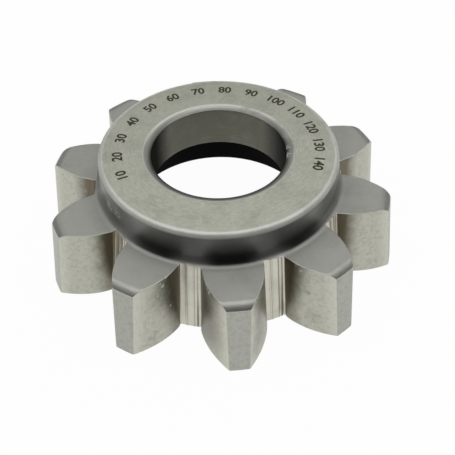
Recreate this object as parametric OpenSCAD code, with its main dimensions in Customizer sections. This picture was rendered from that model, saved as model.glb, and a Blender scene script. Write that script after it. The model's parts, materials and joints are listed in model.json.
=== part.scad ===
// Cup-form gear shaper cutter for involute splines, made in one piece of tool steel.
// It stands on the points of its teeth, with the cutting face down and the hub up.
// The bore's axis is Z, the tooth points lie at z = 0, and one tooth points along -Y.
// All lengths are in millimetres and all angles in degrees.

/* [Teeth] */
// Module: the pitch diameter divided by the number of teeth
gear_module = 10; // [9.8:0.1:11]
// Number of teeth
tooth_count = 10; // [10:1:12]
// Pressure angle of the flanks
pressure_angle = 30; // [26:0.5:31]
// Height of the teeth above the pitch line, before the profile shift
addendum = 6.7; // [5:0.1:7.5]
// Depth of the tooth spaces below the pitch line, before the profile shift
dedendum = 8.5; // [7.5:0.1:9]
// Profile shift at the cutting face
profile_shift = 3.3; // [2.2:0.1:4]
// Relief of the tips, flanks and roots behind the cutting face
relief_angle = 6.1; // [4:0.1:7]
// Length of the teeth along the axis, from their points to their backs
tooth_length = 26.8; // [22:0.1:31]
// Width of the ground floor of a tooth space, the same from its front to its back
floor_width = 6.9; // [5.6:0.1:7.2]
// Least height above the floor at which the involutes begin
root_blend = 1; // [0.6:0.1:1.5]
// Least height above the base circle at which the involutes begin, with straight flanks below
flank_start = 1.7; // [1:0.1:2.5]
// Number of wheel passes side by side across the floor of a tooth space
floor_passes = 3; // [2:1:4]
// Depth of each hollow-ground pass below the ridges beside it
pass_depth = 0.3; // [0.05:0.05:0.5]
// Drop from the backs of the teeth to the lower edge of their rounded heels
heel_drop = 1.7; // [1:0.1:2.6]
// Width of the rounded heels, measured along a radius
heel_width = 3; // [2.8:0.1:5]

/* [Cutting face] */
// Rake of the cutting face, which rises towards the axis
rake_angle = 6.9; // [4:0.1:9]
// Diameter of the flared mouth where it meets the cutting face
mouth_d = 86; // [78:0.5:87]
// Height of the flared mouth's inner rim above the tooth points
mouth_height = 8.2; // [6:0.1:12]
// Diameter of the recess inside the cup
recess_d = 65; // [54:0.5:70]
// Radius of the corner between the wall and the floor of the recess
recess_corner = 1.5; // [0.5:0.25:4]

/* [Hub] */
// Overall height, from the tooth points to the hub's back face
height = 38.8; // [35:0.1:48]
// Diameter of the hub
hub_d = 79; // [74:0.1:81]
// Radius round the hub's outer edge
hub_edge = 1.7; // [0.5:0.1:3]
// Radius of the fillet between the hub and the backs of the teeth
hub_fillet = 2.6; // [1:0.1:3]

/* [Bore] */
// Diameter of the bore
bore_d = 44.443; // [38:0.001:50]
// Length of the bore, from the recess floor to the hub's back face
bore_length = 15.1; // [10:0.1:20]
// Width of the rounded lip round the bore at the hub's back face
lip_width = 2.7; // [0.5:0.1:4]
// Depth of the rounded lip, which ends in a sharp edge at the bore
lip_depth = 0.95; // [0.1:0.05:1.5]
// Chamfer round the bore at the recess floor
bore_chamfer = 0.4; // [0.2:0.1:1.5]

/* [Hidden] */
$fn = 180;

// Radii of the gear at the cutting face
pitch_r = gear_module * tooth_count / 2;
base_r = pitch_r * cos(pressure_angle);
tip_r = pitch_r + profile_shift + addendum;
root_r = pitch_r + profile_shift - dedendum;

// Loss of radius for each millimetre behind the cutting face
relief = tan(relief_angle);
// Radius at which the rounded heels start
heel_r = relieved(tip_r, tooth_length - heel_drop) - heel_width;

// Radii and heights of the turned body
hub_r = hub_d / 2;
bore_r = bore_d / 2;
recess_r = recess_d / 2;
mouth_r = mouth_d / 2;
recess_floor = height - bore_length;

// How far a cutting solid runs past what it cuts
overrun = 2;
// Steps along one flank, along one blend and across one pass of the floor
flank_steps = 14;
blend_steps = 3;
pass_steps = 4;
// Levels at which the section of a tooth space is worked out
space_levels = 4;
space_bottom = -overrun;
space_top = tooth_length + hub_fillet + overrun / 2;

// Height of the cutting face at a radius, and radius of a relieved surface at a height
function face_z(r) = (tip_r - r) * tan(rake_angle);
function relieved(r, z) = r - relief * z;

// Involute function of the pressure angle at a radius, in degrees; zero below the base circle
function involute(r) =
    let (a = r > base_r ? acos(base_r / r) : 0)
    tan(a) * 180 / PI - a;

// Half the angle that a tooth spans at a radius and a height; the profile shift fades with height
function tooth_half(r, z) =
    let (thickness = PI / 2 * gear_module + 2 * relieved(profile_shift, z) * tan(pressure_angle))
    thickness / (2 * pitch_r) * 180 / PI + involute(pitch_r) - involute(r);

// Half the angle that a tooth space spans
function space_half(r, z) = 180 / tooth_count - tooth_half(r, z);

// Point of a level section, given by radius and angle
function polar(r, a) = [r * cos(a), r * sin(a)];

// Point on a parabolic blend from p to q with its corner at c
function blend(p, c, q, t) = (1 - t) * (1 - t) * p + 2 * t * (1 - t) * c + t * t * q;

function mirrored(points) = [for (i = [len(points) - 1:-1:0]) [points[i].x, -points[i].y]];

// Radius of the inner end of a flank's involute
function foot_r(root) = max(root + root_blend, base_r + flank_start);

// One flank of a tooth space, from the foot of its involute out past the tips
function flank(root, tip, z) = [
    for (i = [0:flank_steps])
        let (r = foot_r(root) + (tip - foot_r(root)) * i / flank_steps)
        polar(r, space_half(r, z))
];

// Foot of one flank: a blend whose corner lies where the involute's tangent meets the floor
function corner_blend(root, z) =
    let (
        foot = foot_r(root),
        end = polar(foot, space_half(foot, z)),
        lean = acos(base_r / foot) + space_half(foot, z),
        start = floor_point(root, floor_width / 2),
        tangent_y = end.y - tan(lean) * (end.x - start.x),
        middle = floor_point(root, max(tangent_y, floor_width / 2))
    )
    [for (i = [1:blend_steps - 1]) blend(start, middle, end, i / blend_steps)];

// Point of the unground floor, which follows the root circle
function floor_point(root, y) = [sqrt(root * root - y * y), y];

// Floor of a tooth space: hollow-ground passes side by side, with a ridge between each pair
function passes(root) =
    let (steps = floor_passes * pass_steps)
    [
        for (i = [0:steps])
            let (
                s = (i % pass_steps) / pass_steps,
                hollow = pass_depth * 4 * s * (1 - s)
            )
            floor_point(root, floor_width * (i / steps - 1 / 2)) - [hollow, 0]
    ];

// Outline of a tooth space at a height, centred on +X and closed outside the tip circle
function space_outline(z) =
    let (
        root = relieved(root_r, z),
        tip = relieved(tip_r, z) + overrun,
        side = concat(corner_blend(root, z), flank(root, tip, z)),
        cap = [[tip / cos(space_half(tip, z)), 0]]
    )
    concat(mirrored(side), passes(root), side, cap);

// Solid that cuts one relieved tooth space, lofted through its level outlines
module tooth_space() {
    heights = [
        for (i = [0:space_levels - 1])
            space_bottom + (space_top - space_bottom) * i / (space_levels - 1)
    ];
    outlines = [for (z = heights) space_outline(z)];
    n = len(outlines[0]);
    last = space_levels - 1;
    points = [for (k = [0:last]) for (p = outlines[k]) [p.x, p.y, heights[k]]];
    walls = [
        for (k = [0:last - 1])
            for (i = [0:n - 1])
                let (j = (i + 1) % n)
                [k * n + i, k * n + j, (k + 1) * n + j, (k + 1) * n + i]
    ];
    bottom = [for (i = [n - 1:-1:0]) i];
    top = [for (i = [0:n - 1]) last * n + i];
    polyhedron(points, concat([bottom], walls, [top]));
}

// Region outside a quarter circle of radius r in the square corner at [x, y], towards sx and sy
module corner_outside(x, y, r, sx, sy) {
    difference() {
        translate([x + (sx - 1) / 2 * r, y + (sy - 1) / 2 * r]) square(r);
        translate([x, y]) circle(r);
    }
}

// Half section of the turned body with sharp corners: bore, recess, mouth, cutting face, back and hub
module sharp_section() {
    polygon([
        [bore_r, height],
        [bore_r, recess_floor + bore_chamfer],
        [bore_r + bore_chamfer, recess_floor],
        [recess_r, recess_floor],
        [recess_r, mouth_height],
        [mouth_r, face_z(mouth_r)],
        [tip_r, 0],
        [relieved(tip_r, tooth_length), tooth_length],
        [hub_r, tooth_length],
        [hub_r, height]
    ]);
}

// Region above an arc that starts level at [x, y] and falls by drop over width, towards side
module arc_outside(x, y, width, drop, side) {
    // Rounded to a hundredth, so that the arc leaves the level face without a step
    arc_r = round(50 * (width * width + drop * drop) / drop) / 100;
    reach = width + overrun;
    difference() {
        translate([x + (side - 1) / 2 * reach, y - arc_r]) square([reach, arc_r + overrun]);
        translate([x, y - arc_r]) circle(arc_r);
    }
}

// Half section of the turned body with its fillets, rounded edges and lip
module body_section() {
    difference() {
        union() {
            sharp_section();
            corner_outside(hub_r + hub_fillet, tooth_length + hub_fillet, hub_fillet, -1, -1);
            corner_outside(recess_r - recess_corner, recess_floor - recess_corner, recess_corner, 1, 1);
        }
        corner_outside(hub_r - hub_edge, height - hub_edge, hub_edge, 1, 1);
        arc_outside(bore_r + lip_width, height, lip_width, lip_depth, -1);
        arc_outside(heel_r, tooth_length, heel_width, heel_drop, 1);
    }
}

// The whole cutter: the turned body with its tooth spaces cut through
module cutter() {
    color([0.62, 0.62, 0.59])
    difference() {
        rotate_extrude() body_section();
        for (k = [0:tooth_count - 1])
            rotate((k + 0.5) * 360 / tooth_count - 90) tooth_space();
    }
}

cutter();
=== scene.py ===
"""Looks of a cup-form gear shaper cutter that stands on the points of its teeth with its hub up.

The steel body is built again as one closed surface of numpy grids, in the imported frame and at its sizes,
with softened edges and one finish for each machined face. All lengths are in metres and angles in radians.
"""
import json
import logging
import math
from dataclasses import dataclass
from enum import Enum, IntEnum
from functools import cached_property
from typing import Any, Callable, Sequence

import bmesh
import bpy
import numpy as np
from mathutils import Matrix, Vector

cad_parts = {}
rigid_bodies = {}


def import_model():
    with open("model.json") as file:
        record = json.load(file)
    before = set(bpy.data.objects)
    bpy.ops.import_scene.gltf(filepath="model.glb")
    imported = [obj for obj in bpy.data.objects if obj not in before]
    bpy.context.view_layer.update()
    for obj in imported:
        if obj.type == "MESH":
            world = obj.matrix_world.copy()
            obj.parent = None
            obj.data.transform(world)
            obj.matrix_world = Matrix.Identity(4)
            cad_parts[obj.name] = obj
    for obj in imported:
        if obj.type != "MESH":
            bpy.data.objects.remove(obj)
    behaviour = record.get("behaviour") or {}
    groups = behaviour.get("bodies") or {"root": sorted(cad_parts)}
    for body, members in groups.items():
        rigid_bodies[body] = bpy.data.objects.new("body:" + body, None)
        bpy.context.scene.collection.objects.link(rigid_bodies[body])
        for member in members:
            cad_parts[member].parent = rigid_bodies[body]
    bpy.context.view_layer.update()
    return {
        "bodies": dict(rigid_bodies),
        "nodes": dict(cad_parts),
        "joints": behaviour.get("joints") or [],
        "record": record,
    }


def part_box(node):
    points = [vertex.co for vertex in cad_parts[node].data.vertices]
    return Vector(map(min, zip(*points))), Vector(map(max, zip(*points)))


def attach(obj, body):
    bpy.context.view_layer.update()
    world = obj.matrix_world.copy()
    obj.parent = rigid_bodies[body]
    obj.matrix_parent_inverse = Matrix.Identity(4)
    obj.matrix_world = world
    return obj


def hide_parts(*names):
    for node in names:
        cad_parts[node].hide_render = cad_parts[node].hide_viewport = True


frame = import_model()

logging.basicConfig(level=logging.INFO, format="%(message)s")
log = logging.getLogger("cutter")

# Array of lengths, angles, complex plan positions or points
Points = np.ndarray
# Red, green and blue, as shares of 1
Colour = tuple[float, float, float]


class Region(IntEnum):
    """Machined faces of the cutter, in the order of the body's material slots."""

    TOP = 0
    LIP = 1
    BORE = 2
    RECESS = 3
    EDGE = 4
    WALL = 5
    FILLET = 6
    BACK = 7
    HEEL = 8
    TIP = 9
    FLANK = 10
    FLOOR = 11
    CUTTING_FACE = 12
    RIM = 13


class Axis(Enum):
    """Axis along which a place is measured."""

    X = "X"
    Y = "Y"
    Z = "Z"


class Lay(Enum):
    """Direction of the fine lines that a tool or a wheel left on a face."""

    RINGS = "rings about the axis, seen from above"
    HOOPS = "rings about the axis, seen from the side"
    LENGTHWISE = "lines along the axis"
    EVEN = "no direction"


@dataclass(frozen=True)
class Arc:
    """Part of a circle in the turned half section.

    Formula: centre + radius * (cos a, sin a), with a going evenly from start to end.
    """

    centre: tuple[float, float]
    radius: float
    start: float
    end: float
    steps: int

    @property
    def length(self) -> float:
        """Length along the arc."""
        return abs(self.end - self.start) * self.radius

    def at(self, t: Points) -> Points:
        """Points at the shares t of the arc."""
        a = self.start + (self.end - self.start) * t
        return np.array(self.centre) + self.radius * np.stack([np.cos(a), np.sin(a)], -1)


@dataclass(frozen=True)
class Line:
    """Straight part of the turned half section, from a to b.

    Formula: a + (b - a) * t.
    """

    a: tuple[float, float]
    b: tuple[float, float]
    steps: int

    @property
    def length(self) -> float:
        """Length of the line."""
        return math.dist(self.a, self.b)

    def at(self, t: Points) -> Points:
        """Points at the shares t of the line."""
        return np.array(self.a) + np.outer(t, np.subtract(self.b, self.a))


def polar(r: Points, angle: Points) -> Points:
    """Complex number of a radius and an angle."""
    return r * np.exp(1j * angle)


def space(plane: Points, z: Points) -> Points:
    """Three-dimensional points of complex plan positions and heights."""
    return np.stack([plane.real, plane.imag, np.broadcast_to(z, plane.shape)], -1)


def parabola_middle(start: Points, corner: Points, end: Points) -> Points:
    """Middle of a parabola: a quarter of its start, half of its corner and a quarter of its end."""
    return start / 4 + corner / 2 + end / 4


def arc_radius(width: float, drop: float) -> float:
    """Radius of an arc that starts level and falls by the drop over the width: (w w + d d) over 2 d."""
    return (width**2 + drop**2) / (2 * drop)


@dataclass(frozen=True)
class ToothForm:
    """Relieved involute teeth: the section at any height, and the surfaces that bound it above and below."""

    module: float = 0.010
    teeth: int = 10
    pressure_angle: float = math.radians(30)
    shift: float = 0.0033
    addendum: float = 0.0067
    dedendum: float = 0.0085
    relief_angle: float = math.radians(6.1)
    rake_angle: float = math.radians(6.9)
    length: float = 0.0268
    floor_width: float = 0.0069
    # Least heights above the floor and above the base circle at which the involutes begin
    root_blend: float = 0.001
    flank_start: float = 0.0017
    # Edges of the wheel passes across a floor, as shares of its width, and the depth of their hollows
    pass_edges: tuple[float, ...] = (0.0, 0.35, 0.69, 0.85, 1.0)
    pass_depth: float = 0.00013
    # Extra depth of the floor's first edge at the backs of the teeth, where the wheel ran in deeper
    floor_tilt: float = 0.00085
    # Share of the floor's width, from its first edge, at which that extra depth has faded out
    floor_tilt_end: float = 1.12
    heel_drop: float = 0.0017
    heel_width: float = 0.003
    # Setback of the small round on the two outer corners of each tooth
    corner: float = 0.00032
    # Steps along a tip arc, a flank and a blend, and across one wheel pass
    tip_steps: int = 12
    flank_steps: int = 24
    blend_steps: int = 7
    pass_steps: int = 8

    @property
    def pitch_r(self) -> float:
        """Pitch radius."""
        return self.module * self.teeth / 2

    @property
    def base_r(self) -> float:
        """Radius of the circle that the involutes start from."""
        return self.pitch_r * math.cos(self.pressure_angle)

    @property
    def tip_r(self) -> float:
        """Radius of the tooth points at the cutting face."""
        return self.pitch_r + self.shift + self.addendum

    @property
    def root_r(self) -> float:
        """Radius of the tooth spaces' floors at the cutting face."""
        return self.pitch_r + self.shift - self.dedendum

    @property
    def relief(self) -> float:
        """Loss of radius for each metre behind the cutting face."""
        return math.tan(self.relief_angle)

    @property
    def step(self) -> float:
        """Angle from one tooth to the next."""
        return math.tau / self.teeth

    @property
    def heel_r(self) -> float:
        """Radius at which the rounded heels start."""
        return self.tip_r - self.relief * (self.length - self.heel_drop) - self.heel_width

    def involute(self, r: Points) -> Points:
        """Involute function at radius r: tan a - a, where cos a is the base radius over r."""
        a = np.arccos(np.clip(self.base_r / r, -1, 1))
        return np.tan(a) - a

    def half_angle(self, r: Points, z: Points) -> Points:
        """Half the angle that a tooth spans at a radius and a height.

        Formula: half the pitch thickness over the pitch radius, plus the involute function there, less
        the one at r. The profile shift, and the thickness with it, fades in a straight line with z.

        Args:
            r: Radii.
            z: Heights.

        Returns:
            The angles.
        """
        shift = self.shift - self.relief * z
        thickness = math.pi / 2 * self.module + 2 * shift * math.tan(self.pressure_angle)
        return thickness / (2 * self.pitch_r) + self.involute(np.array(self.pitch_r)) - self.involute(r)

    def foot_r(self, z: Points) -> Points:
        """Radius of the inner end of a flank's involute at height z."""
        return np.maximum(self.root_r - self.relief * z + self.root_blend, self.base_r + self.flank_start)

    def outline(self, z: Points) -> Points:
        """Section of one tooth and of the space after it, as complex numbers, each station at its own height.

        Going round: outer corner, tip arc, outer corner, flank down, blend, floor, blend, next flank up.

        Args:
            z: Heights, whose last axis runs over the stations.

        Returns:
            Complex array of the same shape, x + iy, with the tooth centred on the real axis.
        """
        cuts = np.cumsum(self.counts())[:-1]
        z_left, z_tip, z_right, z_down, z_blend, z_floor, z_rise, z_up = np.split(z, cuts, axis=-1)
        u = np.linspace(-1, 1, self.tip_steps + 1)
        tip = self.tip_r - self.relief * z_tip
        arc = tip * np.exp(1j * u * (self.half_angle(tip, z_tip) - self.corner / tip))
        return np.concatenate([
            self.outer_corner(z_left).conj(),
            arc,
            self.outer_corner(z_right),
            self.flank(z_down),
            self.blend(z_blend),
            self.floor(z_floor),
            self.mirrored(self.blend, z_rise),
            self.mirrored(self.flank, z_up),
        ], axis=-1)

    def counts(self) -> list[int]:
        """Number of stations in each stretch of the outline.

        Returns:
            The numbers, in the order of the outline.
        """
        flank, blend = self.flank_steps + 1, self.blend_steps - 1
        floor = (len(self.pass_edges) - 1) * self.pass_steps + 1
        return [1, self.tip_steps + 1, 1, flank, blend, floor, blend, flank]

    def mirrored(self, stretch: Callable[[Points], Points], z: Points) -> Points:
        """A stretch of the outline turned over about the middle of the space, in the opposite order."""
        return stretch(z[..., ::-1]).conj()[..., ::-1] * np.exp(1j * self.step)

    def outer_corner(self, z: Points) -> Points:
        """Middle of the small round between the tip arc and the flank.

        Formula: the middle of a parabola from the tip arc to the flank, one setback each side of the corner.

        Args:
            z: Heights.

        Returns:
            Complex plan positions.
        """
        tip = self.tip_r - self.relief * z
        half = self.half_angle(tip, z)
        on_arc = polar(tip, half - self.corner / tip)
        on_flank = polar(tip - self.corner, self.half_angle(tip - self.corner, z))
        return parabola_middle(on_arc, polar(tip, half), on_flank)

    def flank(self, z: Points) -> Points:
        """Flank from the outer corner down to its foot: radii evenly spaced, angles from half_angle.

        Args:
            z: Height of each station.

        Returns:
            Complex plan positions.
        """
        tip = self.tip_r - self.relief * z - self.corner
        r = tip + (self.foot_r(z) - tip) * np.linspace(0, 1, self.flank_steps + 1)
        return polar(r, self.half_angle(r, z))

    def floor_point(self, root: Points, y: Points) -> Points:
        """Point of the root circle at a distance y from the middle of the space."""
        return (np.sqrt(root**2 - y**2) + 1j * y) * np.exp(0.5j * self.step)

    def blend(self, z: Points) -> Points:
        """Parabola from the flank's foot to the floor's edge.

        Its corner lies where the involute's tangent at the foot meets the floor, or at the floor's edge.
        The tangent leans from the middle line of the space by the pressure angle there and by half the space.

        Args:
            z: Height of each station.

        Returns:
            Complex plan positions, without the parabola's ends.
        """
        root, foot, edge = self.root_r - self.relief * z, self.foot_r(z), self.floor_width / 2
        half_space = self.step / 2 - self.half_angle(foot, z)
        lean = np.arccos(self.base_r / foot) + half_space
        rise = foot * np.cos(half_space) - np.sqrt(root**2 - edge**2)
        tangent_y = foot * np.sin(half_space) - np.tan(lean) * rise
        start = polar(foot, self.half_angle(foot, z))
        middle = self.floor_point(root, -np.maximum(tangent_y, edge))
        end = self.floor_point(root, -edge)
        t = np.arange(1, self.blend_steps) / self.blend_steps
        return (1 - t) ** 2 * start + 2 * t * (1 - t) * middle + t**2 * end

    def floor(self, z: Points) -> Points:
        """Floor of the space: the root circle less a tilt and the hollows of the wheel passes.

        The tilt grows from nothing at the cutting face to its full depth at the backs, and fades across
        the floor; each hollow is a parabola, 4 s (1 - s) times the pass depth.

        Args:
            z: Height of each station.

        Returns:
            Complex plan positions.
        """
        count = len(self.pass_edges) - 1
        way = np.linspace(0, count, count * self.pass_steps + 1)
        share = np.interp(way, np.arange(count + 1), self.pass_edges)
        s = way % 1
        tilt = self.floor_tilt * z / self.length * (self.floor_tilt_end - share)
        hollow = self.pass_depth * 4 * s * (1 - s) + tilt
        root = self.root_r - self.relief * z
        return self.floor_point(root, (share - 0.5) * self.floor_width) - hollow * np.exp(0.5j * self.step)

    def face_height(self, r: Points) -> Points:
        """Height of the raked cutting face, a shallow cone that rises towards the axis."""
        return (self.tip_r - r) * math.tan(self.rake_angle)


def read(items: Any, name: str, width: int = 1, kind: type = float) -> Points:
    """Reads one value of every vertex, face or corner of a mesh.

    Args:
        items: The mesh's vertices, polygons or loops.
        name: Name of the value.
        width: How many numbers it has.
        kind: Type of the numbers.

    Returns:
        The values, in rows where the width is more than one.
    """
    values = np.zeros(len(items) * width, kind)
    items.foreach_get(name, values)
    return values.reshape(-1, width) if width > 1 else values


def area_normals(mesh: bpy.types.Mesh) -> Points:
    """Unit normal of each vertex: the sum of its faces' normals, each times its area, made unit length.

    Args:
        mesh: A mesh with faces.

    Returns:
        One row for each vertex.
    """
    weighted = read(mesh.polygons, "normal", 3) * read(mesh.polygons, "area")[:, None]
    share = np.repeat(weighted, read(mesh.polygons, "loop_total", kind=np.int32), axis=0)
    out = np.zeros((len(mesh.vertices), 3))
    np.add.at(out, read(mesh.loops, "vertex_index", kind=np.int32), share)
    return out / np.maximum(np.linalg.norm(out, axis=1, keepdims=True), 1e-30)


def close_up(work: bmesh.types.BMesh, mesh: bpy.types.Mesh, weld: float) -> None:
    """Joins a working mesh along its shared edges, turns its faces outwards and puts it into a mesh.

    Args:
        work: The working mesh, which is freed.
        mesh: The mesh that takes the result.
        weld: Distance within which points are one.
    """
    bmesh.ops.remove_doubles(work, verts=work.verts, dist=weld)
    bmesh.ops.recalc_face_normals(work, faces=work.faces)
    work.to_mesh(mesh)
    work.free()


def add_object(data: bpy.types.ID, name: str) -> bpy.types.Object:
    """Links a new object at the origin.

    Args:
        data: Its mesh, curve, camera or lamp.
        name: Its name.

    Returns:
        The object.
    """
    piece = bpy.data.objects.new(name, data)
    bpy.context.scene.collection.objects.link(piece)
    return piece


class Surface:
    """Collects grids of points into one closed mesh."""

    def __init__(self) -> None:
        """Starts without a grid."""
        self.points: list[Points] = []
        self.quads: list[Points] = []
        self.regions: list[Points] = []
        self.size = 0

    def add(self, grid: Points, region: Points | int, closed: bool = False) -> None:
        """Adds one grid of points as quads.

        Args:
            grid: Points of shape (rows, columns, 3).
            region: Region of each row of quads, of each quad, or of all.
            closed: Whether the last column joins the first.
        """
        rows, cols = grid.shape[:2]
        index = np.arange(rows * cols).reshape(rows, cols) + self.size
        right = np.roll(index, -1, axis=1) if closed else index[:, 1:]
        left = index if closed else index[:, :-1]
        quads = np.stack([left[:-1], right[:-1], right[1:], left[1:]], -1)
        region = np.asarray(region)
        if region.ndim == 1:
            region = region[:, None]
        self.points.append(grid.reshape(-1, 3))
        self.quads.append(quads.reshape(-1, 4))
        self.regions.append(np.broadcast_to(region, quads.shape[:2]).reshape(-1))
        self.size += rows * cols

    def build(self, name: str, weld: float) -> bpy.types.Object:
        """Makes one closed mesh of the grids.

        Args:
            name: Name of the new object.
            weld: Distance within which points are one.

        Returns:
            The object, smooth all over, with normals led by the larger faces.
        """
        mesh = bpy.data.meshes.new(name)
        mesh.from_pydata(np.concatenate(self.points), [], np.concatenate(self.quads).tolist())
        mesh.polygons.foreach_set("material_index", np.concatenate(self.regions).astype(np.int32))
        work = bmesh.new()
        work.from_mesh(mesh)
        close_up(work, mesh, weld)
        sides = np.bincount(read(mesh.loops, "edge_index", kind=np.int32))
        log.info("%s: %d faces, %d open or doubled edges", name, len(mesh.polygons), np.sum(sides != 2))
        mesh.polygons.foreach_set("use_smooth", np.ones(len(mesh.polygons), bool))
        mesh.normals_split_custom_set_from_vertices(area_normals(mesh))
        return add_object(mesh, name)


@dataclass
class CutterBody:
    """The one-piece steel body: turned hub, bore and recess, with the toothed ring round them."""

    height: float
    bore_r: float
    teeth: ToothForm = ToothForm()
    hub_r: float = 0.0395
    hub_edge: float = 0.0017
    hub_fillet: float = 0.0026
    lip_width: float = 0.0027
    lip_drop: float = 0.00095
    bore_chamfer: float = 0.0004
    recess_r: float = 0.0325
    recess_floor: float = 0.0237
    recess_corner: float = 0.0015
    mouth_r: float = 0.043
    mouth_height: float = 0.0082
    # Setback of the small rounds along the rims of the teeth and along the turned edges
    edge: float = 0.00013
    turned_edge: float = 0.0001
    # Rows of faces down the toothed wall, out from the hub's wall, and in to the mouth
    wall_rows: int = 22
    collar_rows: int = 14
    skirt_rows: int = 3
    # Rounds of substitution that settle where the teeth meet a turned surface
    settle_rounds: int = 40
    # Distance within which points of the grids are one
    weld: float = 0.000002

    @classmethod
    def from_frame(cls, packed: dict[str, Any]) -> "CutterBody":
        """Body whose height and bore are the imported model's.

        Args:
            packed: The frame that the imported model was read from.

        Returns:
            The body.
        """
        _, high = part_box("cutter")
        bore = next(m for m in packed["record"]["mounts"] if m["kind"] == "bore")
        return cls(height=high.z, bore_r=bore["dims"]["r_mm"] / 1000)

    def upper(self, r: Points) -> Points:
        """Height of the turned upper side: hub fillet, level backs, then the heel's arc.

        Formula: each arc's height is that of its centre, less or plus the root of its radius squared
        less the distance from the centre squared.

        Args:
            r: Radii.

        Returns:
            The heights.
        """
        t = self.teeth
        foot = self.hub_r + self.hub_fillet
        fillet = t.length + self.hub_fillet - np.sqrt(np.maximum(self.hub_fillet**2 - (foot - r) ** 2, 0))
        arc_r = arc_radius(t.heel_width, t.heel_drop)
        heel = t.length - arc_r + np.sqrt(np.maximum(arc_r**2 - (r - t.heel_r) ** 2, 0))
        return np.where(r < foot, fillet, np.where(r < t.heel_r, t.length, heel))

    def settle(self, surface: Callable[[Points], Points]) -> Points:
        """Height at which each station of the outline meets a turned surface, by repeated substitution.

        Args:
            surface: Height of the turned surface by radius.

        Returns:
            The heights of one tooth's stations.
        """
        z = np.full(sum(self.teeth.counts()), self.teeth.length / 2)
        for _ in range(self.settle_rounds):
            z = surface(np.abs(self.teeth.outline(z)))
        return z

    def round_the_ring(self, plane: Points) -> Points:
        """Repeats one tooth's stations for all teeth, with the first tooth along -Y."""
        turns = np.arange(self.teeth.teeth) * self.teeth.step - math.pi / 2
        return np.concatenate([plane * np.exp(1j * turn) for turn in turns], axis=-1)

    def ring_of(self, plane: Points, z: Points) -> Points:
        """Grid of points all the way round from one tooth's stations."""
        return space(self.round_the_ring(plane), np.tile(z, self.teeth.teeth))

    def rim(self, z: Points, surface: Callable[[Points], Points],
            inward: float) -> tuple[Points, Points, Points]:
        """Works out the small round along the upper or the lower rim of the teeth.

        Formula: a parabola from the turned surface, one setback in from the sharp edge, to the wall,
        one setback along it, with the sharp edge as its corner.

        Args:
            z: Height of the sharp edge at each station.
            surface: The turned surface that the wall meets there.
            inward: Setback along the wall, negative where the wall lies below the edge.

        Returns:
            Plan positions of the start on the turned surface, and the three rows' positions and heights.
        """
        sharp = self.teeth.outline(z)
        turn = np.exp(1j * self.teeth.step)
        before = np.concatenate([sharp[-1:] / turn, sharp[:-1]])
        after = np.concatenate([sharp[1:], sharp[:1] * turn])
        along = (after - before) / np.abs(after - before)
        start = sharp + self.edge * 1j * along
        end = self.teeth.outline(z + inward)
        rows = np.stack([start, parabola_middle(start, sharp, end), end])
        start_z, end_z = surface(np.abs(start)), z + inward
        heights = np.stack([start_z, parabola_middle(start_z, z, end_z), end_z])
        return start, rows, heights

    def tooth_sheet(self, start: Points) -> Points:
        """Top or bottom of one tooth inside its rim.

        Formula: each row keeps the radius of a pair of flank stations, and its angle is the flank's
        angle times the share that the column has of the tip arc; the last row is the tip arc itself.

        Args:
            start: Plan positions of the rim's inner side.

        Returns:
            Complex grid of rows from the root to the tip, centred on the real axis.
        """
        t = self.teeth
        tip = start[: t.tip_steps + 3]
        flank = start[t.tip_steps + 3 : t.tip_steps + 4 + t.flank_steps][::-1]
        share = np.angle(tip) / np.angle(tip[-1])
        rows = polar(np.abs(flank)[:, None], np.angle(flank)[:, None] * share)
        return np.concatenate([rows, tip[None]])

    def root_columns(self, sheet: Points, start: Points) -> Points:
        """Columns round the roots: a tooth's innermost row, then the rim across the space.

        Args:
            sheet: The tooth's top or bottom, from tooth_sheet.
            start: Plan positions of the rim's inner side.

        Returns:
            Complex plan positions.
        """
        t = self.teeth
        first = t.tip_steps + 4 + t.flank_steps
        return np.concatenate([sheet[0], start[first : -t.flank_steps - 1]])

    def hub_angles(self, ends: Points) -> Points:
        """Angles of the columns on the hub: halfway between those of the ends and an even spread.

        Args:
            ends: Complex plan positions at the outer ends of the columns.

        Returns:
            The angles.
        """
        own = np.angle(ends)
        even = self.teeth.step * np.arange(own.size) / own.size
        return (own + even + np.mean(own - even)) / 2

    def collar(self, ends: Points, angle: Points) -> tuple[Points, Points]:
        """Hub fillet and the start of the backs, from the hub's wall out to the given ends.

        Formula: at each column the way runs along the fillet's quarter circle and then level, and the
        rows divide its length evenly; the angle passes evenly from the hub's to the end's.

        Args:
            ends: Complex plan positions at which the columns end.
            angle: Angles at which they start on the hub's wall.

        Returns:
            Complex plan positions and heights, rows by columns.
        """
        foot, f = self.hub_r + self.hub_fillet, self.hub_fillet
        reach = np.abs(ends)
        stop = np.arcsin(np.clip((foot - reach) / f, 0, 1))
        arc = f * (math.pi / 2 - stop)
        level = np.maximum(reach - foot, 0)
        share = np.linspace(0, 1, self.collar_rows + 1)[:, None]
        way = share * (arc + level)
        turn = math.pi / 2 - np.minimum(way, arc) / f
        r = foot - f * np.sin(turn) + np.maximum(way - arc, 0)
        return polar(r, angle + (np.angle(ends) - angle) * share), self.teeth.length + f - f * np.cos(turn)

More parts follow.
